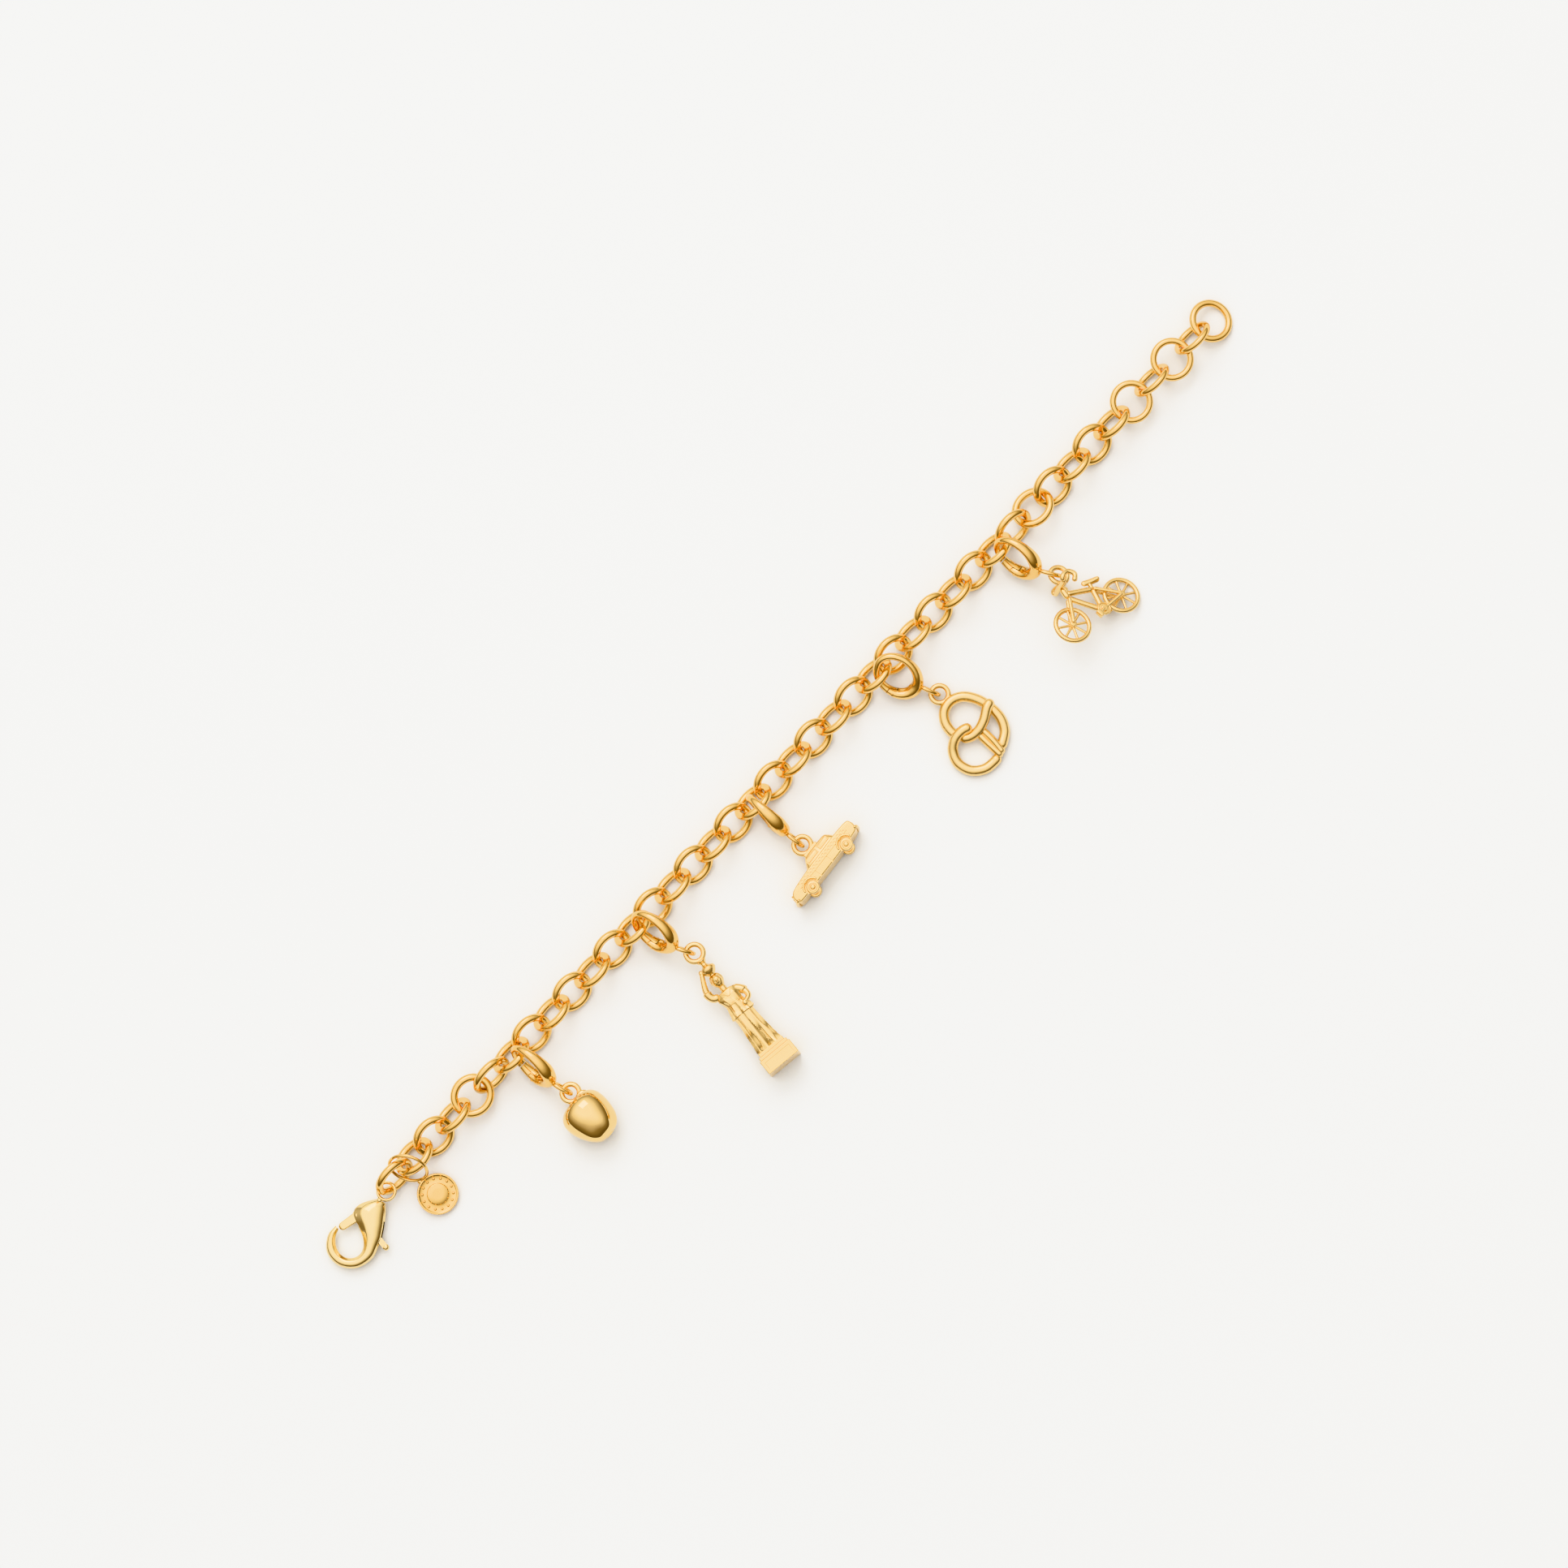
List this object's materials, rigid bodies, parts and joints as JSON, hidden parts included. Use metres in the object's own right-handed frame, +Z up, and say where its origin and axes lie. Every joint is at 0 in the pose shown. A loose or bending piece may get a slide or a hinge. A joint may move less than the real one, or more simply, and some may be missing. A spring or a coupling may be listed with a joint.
{
  "type": "charm bracelet",
  "caption": "Open gold link bracelet with a lobster clasp, a round tag and five charms on gated clips: apple, jar bearer, saloon car, pretzel and bicycle.",
  "frame": {"origin": "middle of the bracelet's box on the table that it lies on", "axes": "+X along the open chain from the clasp to the end ring, charms towards -Y, +Z up from the table"},
  "size_m": [0.1866, 0.0334, 0.0075],
  "materials": {
    "gold": "polished",
    "pale_gold": "satin",
    "lemon_gold": "polished"
  },
  "bodies": {
    "bracelet": {"link_01": "gold", "link_02": "gold", "link_03": "gold", "link_04": "gold", "link_05": "gold", "link_06": "gold", "link_07": "gold", "link_08": "gold", "link_09": "gold", "link_10": "gold", "link_11": "gold", "link_12": "gold", "link_13": "gold", "link_14": "gold", "link_15": "gold", "link_16": "gold", "link_17": "gold", "link_18": "gold", "link_19": "gold", "link_20": "gold", "link_21": "gold", "link_22": "gold", "link_23": "gold", "link_24": "gold", "link_25": "gold", "link_26": "gold", "link_27": "gold", "link_28": "gold", "link_29": "gold", "link_30": "gold", "link_31": "gold", "link_32": "gold", "link_33": "gold", "link_34": "gold", "link_35": "gold", "link_36": "gold", "link_37": "gold", "link_38": "gold", "link_39": "gold", "link_40": "gold", "link_41": "gold", "end_ring": "gold", "clasp_body": "lemon_gold", "tag": "gold", "clip_apple": "gold", "charm_apple": "pale_gold", "clip_figure": "gold", "charm_figure": "pale_gold", "clip_car": "gold", "charm_car": "pale_gold", "clip_pretzel": "gold", "charm_pretzel": "pale_gold", "clip_bicycle": "gold", "charm_bicycle": "pale_gold"},
    "clasp_lever": {"clasp_lever": "lemon_gold"},
    "gate_apple": {"gate_apple": "gold"},
    "gate_figure": {"gate_figure": "gold"},
    "gate_car": {"gate_car": "gold"},
    "gate_pretzel": {"gate_pretzel": "gold"},
    "gate_bicycle": {"gate_bicycle": "gold"}
  },
  "joints": [
    {"name": "clasp_lever_pivot", "type": "hinge", "parent": "bracelet", "child": "clasp_lever", "pos_m": [-0.08615, 0.01307, 0.00133], "axis": [0, 0, 1], "range_deg": [0, 25], "stiffness_Nm_per_rad": 0.0001, "springref_deg": -11.46},
    {"name": "gate_apple_pivot", "type": "hinge", "parent": "bracelet", "child": "gate_apple", "pos_m": [-0.05454, 0.0085, 0.00165], "axis": [0.9359, 0.0828, -0.3423], "range_deg": [0, 25], "stiffness_Nm_per_rad": 0.00002, "springref_deg": -11.46},
    {"name": "gate_figure_pivot", "type": "hinge", "parent": "bracelet", "child": "gate_figure", "pos_m": [-0.02932, 0.0092, 0.00239], "axis": [0.8556, 0.1641, -0.491], "range_deg": [0, 25], "stiffness_Nm_per_rad": 0.00002, "springref_deg": -11.46},
    {"name": "gate_car_pivot", "type": "hinge", "parent": "bracelet", "child": "gate_car", "pos_m": [-0.00509, 0.00924, 0.0008], "axis": [1, 0, 0], "range_deg": [0, 25], "stiffness_Nm_per_rad": 0.00002, "springref_deg": -11.46},
    {"name": "gate_pretzel_pivot", "type": "hinge", "parent": "bracelet", "child": "gate_pretzel", "pos_m": [0.02004, 0.00956, 0.00197], "axis": [0.4595, 0.3885, -0.7987], "range_deg": [0, 25], "stiffness_Nm_per_rad": 0.00002, "springref_deg": -11.46},
    {"name": "gate_bicycle_pivot", "type": "hinge", "parent": "bracelet", "child": "gate_bicycle", "pos_m": [0.0449, 0.00877, 0.00179], "axis": [0.861, 0.1801, -0.4757], "range_deg": [0, 25], "stiffness_Nm_per_rad": 0.00002, "springref_deg": -11.46}
  ]
}
